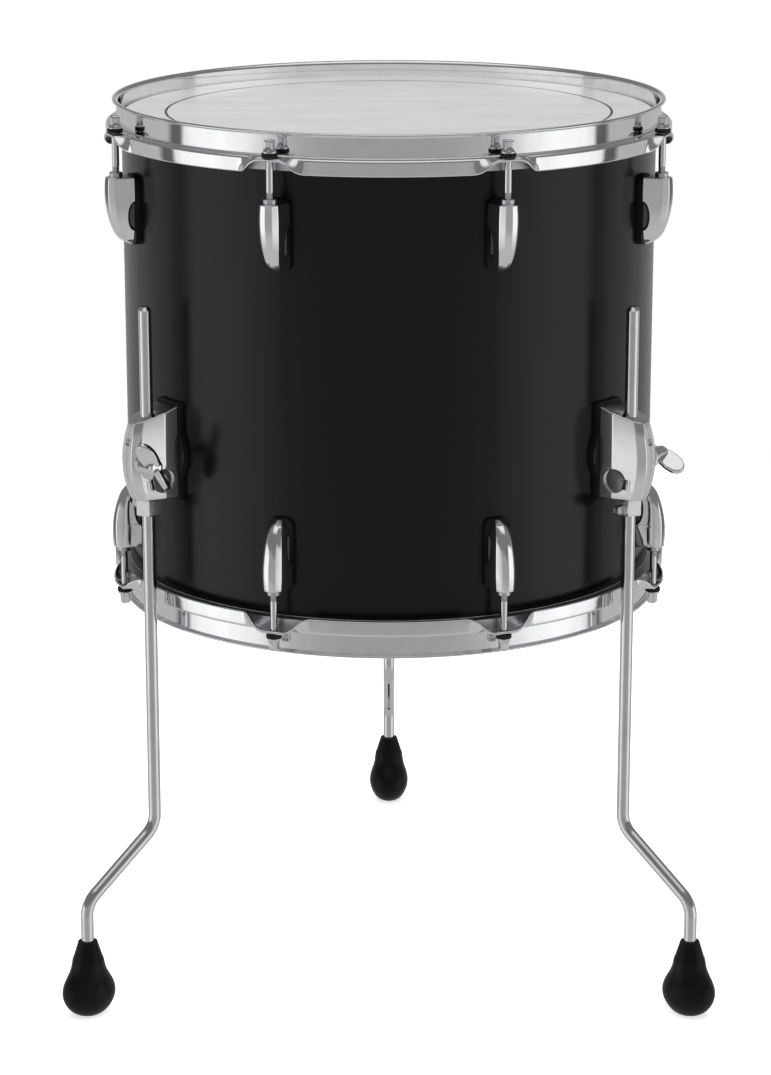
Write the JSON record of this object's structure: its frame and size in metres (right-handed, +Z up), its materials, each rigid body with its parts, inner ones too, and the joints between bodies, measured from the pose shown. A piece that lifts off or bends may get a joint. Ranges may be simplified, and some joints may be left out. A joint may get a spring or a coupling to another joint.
{
  "type": "floor tom drum",
  "caption": "Black wooden floor tom drum with chrome hoops and lugs, standing on three bent legs that slide and turn in clamped brackets.",
  "frame": {"origin": "on the floor, on the drum's axis", "axes": "+Z up along the drum's axis, towards the batter head; -Y is the front, between the two front legs"},
  "size_m": [0.4908, 0.5189, 0.6705],
  "materials": {
    "shell_lacquer": "gloss black lacquer over maple plies",
    "hoop_chrome": "polished chrome over steel",
    "cast_chrome": "polished chrome over a casting",
    "rod_chrome": "chrome plate",
    "leg_chrome": "drawn chrome-plated steel",
    "trim_chrome": "chrome-plated brass",
    "plated_steel": "zinc-plated steel",
    "flesh_hoop_metal": "satin aluminium",
    "batter_film": "translucent polyester film",
    "damping_film": "clear polyester film",
    "resonant_film": "clear polyester film",
    "gasket_rubber": "matt black rubber",
    "foot_rubber": "satin black rubber",
    "washer_nylon": "black nylon"
  },
  "bodies": {
    "drum": {"shell": "shell_lacquer", "vent_grommet": "trim_chrome", "lug_screws": "plated_steel", "lug_screw_washers": "plated_steel", "leg_bracket_gaskets": "gasket_rubber", "leg_bracket_screws": "plated_steel", "leg_bracket_washers": "plated_steel", "batter_lug_casings": "cast_chrome", "batter_lug_gaskets": "gasket_rubber", "batter_swivel_nuts": "plated_steel", "resonant_lug_casings": "cast_chrome", "resonant_lug_gaskets": "gasket_rubber", "resonant_swivel_nuts": "plated_steel", "left_leg_bracket": "cast_chrome", "right_leg_bracket": "cast_chrome", "rear_leg_bracket": "cast_chrome"},
    "batter_rim": {"batter_hoop": "hoop_chrome", "batter_head": "batter_film", "batter_flesh_hoop": "flesh_hoop_metal", "batter_rod_washers": "washer_nylon", "batter_damping_ring": "damping_film"},
    "batter_rod_1": {"batter_tension_rod_1": "rod_chrome"},
    "batter_rod_2": {"batter_tension_rod_2": "rod_chrome"},
    "batter_rod_3": {"batter_tension_rod_3": "rod_chrome"},
    "batter_rod_4": {"batter_tension_rod_4": "rod_chrome"},
    "batter_rod_5": {"batter_tension_rod_5": "rod_chrome"},
    "batter_rod_6": {"batter_tension_rod_6": "rod_chrome"},
    "batter_rod_7": {"batter_tension_rod_7": "rod_chrome"},
    "batter_rod_8": {"batter_tension_rod_8": "rod_chrome"},
    "resonant_rim": {"resonant_hoop": "hoop_chrome", "resonant_head": "resonant_film", "resonant_flesh_hoop": "flesh_hoop_metal", "resonant_rod_washers": "washer_nylon"},
    "resonant_rod_1": {"resonant_tension_rod_1": "rod_chrome"},
    "resonant_rod_2": {"resonant_tension_rod_2": "rod_chrome"},
    "resonant_rod_3": {"resonant_tension_rod_3": "rod_chrome"},
    "resonant_rod_4": {"resonant_tension_rod_4": "rod_chrome"},
    "resonant_rod_5": {"resonant_tension_rod_5": "rod_chrome"},
    "resonant_rod_6": {"resonant_tension_rod_6": "rod_chrome"},
    "resonant_rod_7": {"resonant_tension_rod_7": "rod_chrome"},
    "resonant_rod_8": {"resonant_tension_rod_8": "rod_chrome"},
    "left_lock": {"left_memory_lock": "cast_chrome"},
    "left_support": {"left_leg": "leg_chrome", "left_foot": "foot_rubber"},
    "left_lock_screw": {"left_memory_lock_screw": "rod_chrome"},
    "left_wing": {"left_wing_nut": "cast_chrome"},
    "left_bolt": {"left_clamp_bolt": "rod_chrome"},
    "right_lock": {"right_memory_lock": "cast_chrome"},
    "right_support": {"right_leg": "leg_chrome", "right_foot": "foot_rubber"},
    "right_lock_screw": {"right_memory_lock_screw": "rod_chrome"},
    "right_wing": {"right_wing_nut": "cast_chrome"},
    "right_bolt": {"right_clamp_bolt": "rod_chrome"},
    "rear_lock": {"rear_memory_lock": "cast_chrome"},
    "rear_support": {"rear_leg": "leg_chrome", "rear_foot": "foot_rubber"},
    "rear_lock_screw": {"rear_memory_lock_screw": "rod_chrome"},
    "rear_wing": {"rear_wing_nut": "cast_chrome"},
    "rear_bolt": {"rear_clamp_bolt": "rod_chrome"}
  },
  "joints": [
    {"name": "batter_tension", "type": "slide", "parent": "drum", "child": "batter_rim", "axis": [0, 0, 1], "range_m": [0, 0.012]},
    {"name": "batter_rod_1_turn", "type": "hinge", "parent": "batter_rim", "child": "batter_rod_1", "pos_m": [0.08277, -0.19984, 0.6548], "axis": [0, 0, 1], "range_deg": [0, 4100]},
    {"name": "batter_rod_2_turn", "type": "hinge", "parent": "batter_rim", "child": "batter_rod_2", "pos_m": [0.19984, -0.08277, 0.6548], "axis": [0, 0, 1], "range_deg": [0, 4100]},
    {"name": "batter_rod_3_turn", "type": "hinge", "parent": "batter_rim", "child": "batter_rod_3", "pos_m": [0.19984, 0.08277, 0.6548], "axis": [0, 0, 1], "range_deg": [0, 4100]},
    {"name": "batter_rod_4_turn", "type": "hinge", "parent": "batter_rim", "child": "batter_rod_4", "pos_m": [0.08277, 0.19984, 0.6548], "axis": [0, 0, 1], "range_deg": [0, 4100]},
    {"name": "batter_rod_5_turn", "type": "hinge", "parent": "batter_rim", "child": "batter_rod_5", "pos_m": [-0.08277, 0.19984, 0.6548], "axis": [0, 0, 1], "range_deg": [0, 4100]},
    {"name": "batter_rod_6_turn", "type": "hinge", "parent": "batter_rim", "child": "batter_rod_6", "pos_m": [-0.19984, 0.08277, 0.6548], "axis": [0, 0, 1], "range_deg": [0, 4100]},
    {"name": "batter_rod_7_turn", "type": "hinge", "parent": "batter_rim", "child": "batter_rod_7", "pos_m": [-0.19984, -0.08277, 0.6548], "axis": [0, 0, 1], "range_deg": [0, 4100]},
    {"name": "batter_rod_8_turn", "type": "hinge", "parent": "batter_rim", "child": "batter_rod_8", "pos_m": [-0.08277, -0.19984, 0.6548], "axis": [0, 0, 1], "range_deg": [0, 4100]},
    {"name": "resonant_tension", "type": "slide", "parent": "drum", "child": "resonant_rim", "axis": [0, 0, -1], "range_m": [0, 0.012]},
    {"name": "resonant_rod_1_turn", "type": "hinge", "parent": "resonant_rim", "child": "resonant_rod_1", "pos_m": [0.08277, -0.19984, 0.3068], "axis": [0, 0, -1], "range_deg": [0, 4100]},
    {"name": "resonant_rod_2_turn", "type": "hinge", "parent": "resonant_rim", "child": "resonant_rod_2", "pos_m": [0.19984, -0.08277, 0.3068], "axis": [0, 0, -1], "range_deg": [0, 4100]},
    {"name": "resonant_rod_3_turn", "type": "hinge", "parent": "resonant_rim", "child": "resonant_rod_3", "pos_m": [0.19984, 0.08277, 0.3068], "axis": [0, 0, -1], "range_deg": [0, 4100]},
    {"name": "resonant_rod_4_turn", "type": "hinge", "parent": "resonant_rim", "child": "resonant_rod_4", "pos_m": [0.08277, 0.19984, 0.3068], "axis": [0, 0, -1], "range_deg": [0, 4100]},
    {"name": "resonant_rod_5_turn", "type": "hinge", "parent": "resonant_rim", "child": "resonant_rod_5", "pos_m": [-0.08277, 0.19984, 0.3068], "axis": [0, 0, -1], "range_deg": [0, 4100]},
    {"name": "resonant_rod_6_turn", "type": "hinge", "parent": "resonant_rim", "child": "resonant_rod_6", "pos_m": [-0.19984, 0.08277, 0.3068], "axis": [0, 0, -1], "range_deg": [0, 4100]},
    {"name": "resonant_rod_7_turn", "type": "hinge", "parent": "resonant_rim", "child": "resonant_rod_7", "pos_m": [-0.19984, -0.08277, 0.3068], "axis": [0, 0, -1], "range_deg": [0, 4100]},
    {"name": "resonant_rod_8_turn", "type": "hinge", "parent": "resonant_rim", "child": "resonant_rod_8", "pos_m": [-0.08277, -0.19984, 0.3068], "axis": [0, 0, -1], "range_deg": [0, 4100]},
    {"name": "left_leg_turn", "type": "hinge", "parent": "drum", "child": "left_lock", "pos_m": [-0.1766, -0.13551, 0.386], "axis": [0, 0, 1], "range_deg": [-180, 180]},
    {"name": "left_leg_height", "type": "slide", "parent": "left_lock", "child": "left_support", "axis": [0, 0, 1], "range_m": [-0.08, 0.13]},
    {"name": "left_lock_screw_turn", "type": "hinge", "parent": "left_lock", "child": "left_lock_screw", "pos_m": [-0.1766, -0.13551, 0.386], "axis": [-0.6088, 0.7934, 0], "range_deg": [0, 540]},
    {"name": "left_wing_turn", "type": "hinge", "parent": "drum", "child": "left_wing", "pos_m": [-0.18485, -0.14184, 0.422], "axis": [0.6088, -0.7934, 0], "range_deg": [0, 720]},
    {"name": "left_clamp_release", "type": "slide", "parent": "drum", "child": "left_bolt", "axis": [-0.6088, 0.7934, 0], "range_m": [0, 0.0026]},
    {"name": "right_leg_turn", "type": "hinge", "parent": "drum", "child": "right_lock", "pos_m": [0.1766, -0.13551, 0.386], "axis": [0, 0, 1], "range_deg": [-180, 180]},
    {"name": "right_leg_height", "type": "slide", "parent": "right_lock", "child": "right_support", "axis": [0, 0, 1], "range_m": [-0.08, 0.13]},
    {"name": "right_lock_screw_turn", "type": "hinge", "parent": "right_lock", "child": "right_lock_screw", "pos_m": [0.1766, -0.13551, 0.386], "axis": [-0.6088, -0.7934, 0], "range_deg": [0, 540]},
    {"name": "right_wing_turn", "type": "hinge", "parent": "drum", "child": "right_wing", "pos_m": [0.18485, -0.14184, 0.422], "axis": [0.6088, 0.7934, 0], "range_deg": [0, 720]},
    {"name": "right_clamp_release", "type": "slide", "parent": "drum", "child": "right_bolt", "axis": [-0.6088, -0.7934, 0], "range_m": [0, 0.0026]},
    {"name": "rear_leg_turn", "type": "hinge", "parent": "drum", "child": "rear_lock", "pos_m": [0, 0.2226, 0.386], "axis": [0, 0, 1], "range_deg": [-180, 180]},
    {"name": "rear_leg_height", "type": "slide", "parent": "rear_lock", "child": "rear_support", "axis": [0, 0, 1], "range_m": [-0.08, 0.13]},
    {"name": "rear_lock_screw_turn", "type": "hinge", "parent": "rear_lock", "child": "rear_lock_screw", "pos_m": [0, 0.2226, 0.386], "axis": [1, 0, 0], "range_deg": [0, 540]},
    {"name": "rear_wing_turn", "type": "hinge", "parent": "drum", "child": "rear_wing", "pos_m": [0, 0.233, 0.422], "axis": [-1, 0, 0], "range_deg": [0, 720]},
    {"name": "rear_clamp_release", "type": "slide", "parent": "drum", "child": "rear_bolt", "axis": [1, 0, 0], "range_m": [0, 0.0026]}
  ],
  "couplings": [
    {"joint": "batter_rod_1_turn", "follows": "batter_tension", "rad_per_m": 5936.9},
    {"joint": "batter_rod_2_turn", "follows": "batter_tension", "rad_per_m": 5936.9},
    {"joint": "batter_rod_3_turn", "follows": "batter_tension", "rad_per_m": 5936.9},
    {"joint": "batter_rod_4_turn", "follows": "batter_tension", "rad_per_m": 5936.9},
    {"joint": "batter_rod_5_turn", "follows": "batter_tension", "rad_per_m": 5936.9},
    {"joint": "batter_rod_6_turn", "follows": "batter_tension", "rad_per_m": 5936.9},
    {"joint": "batter_rod_7_turn", "follows": "batter_tension", "rad_per_m": 5936.9},
    {"joint": "batter_rod_8_turn", "follows": "batter_tension", "rad_per_m": 5936.9},
    {"joint": "resonant_rod_1_turn", "follows": "resonant_tension", "rad_per_m": 5936.9},
    {"joint": "resonant_rod_2_turn", "follows": "resonant_tension", "rad_per_m": 5936.9},
    {"joint": "resonant_rod_3_turn", "follows": "resonant_tension", "rad_per_m": 5936.9},
    {"joint": "resonant_rod_4_turn", "follows": "resonant_tension", "rad_per_m": 5936.9},
    {"joint": "resonant_rod_5_turn", "follows": "resonant_tension", "rad_per_m": 5936.9},
    {"joint": "resonant_rod_6_turn", "follows": "resonant_tension", "rad_per_m": 5936.9},
    {"joint": "resonant_rod_7_turn", "follows": "resonant_tension", "rad_per_m": 5936.9},
    {"joint": "resonant_rod_8_turn", "follows": "resonant_tension", "rad_per_m": 5936.9},
    {"joint": "left_clamp_release", "follows": "left_wing_turn", "m_per_rad": 0.00019894},
    {"joint": "right_clamp_release", "follows": "right_wing_turn", "m_per_rad": 0.00019894},
    {"joint": "rear_clamp_release", "follows": "rear_wing_turn", "m_per_rad": 0.00019894}
  ]
}
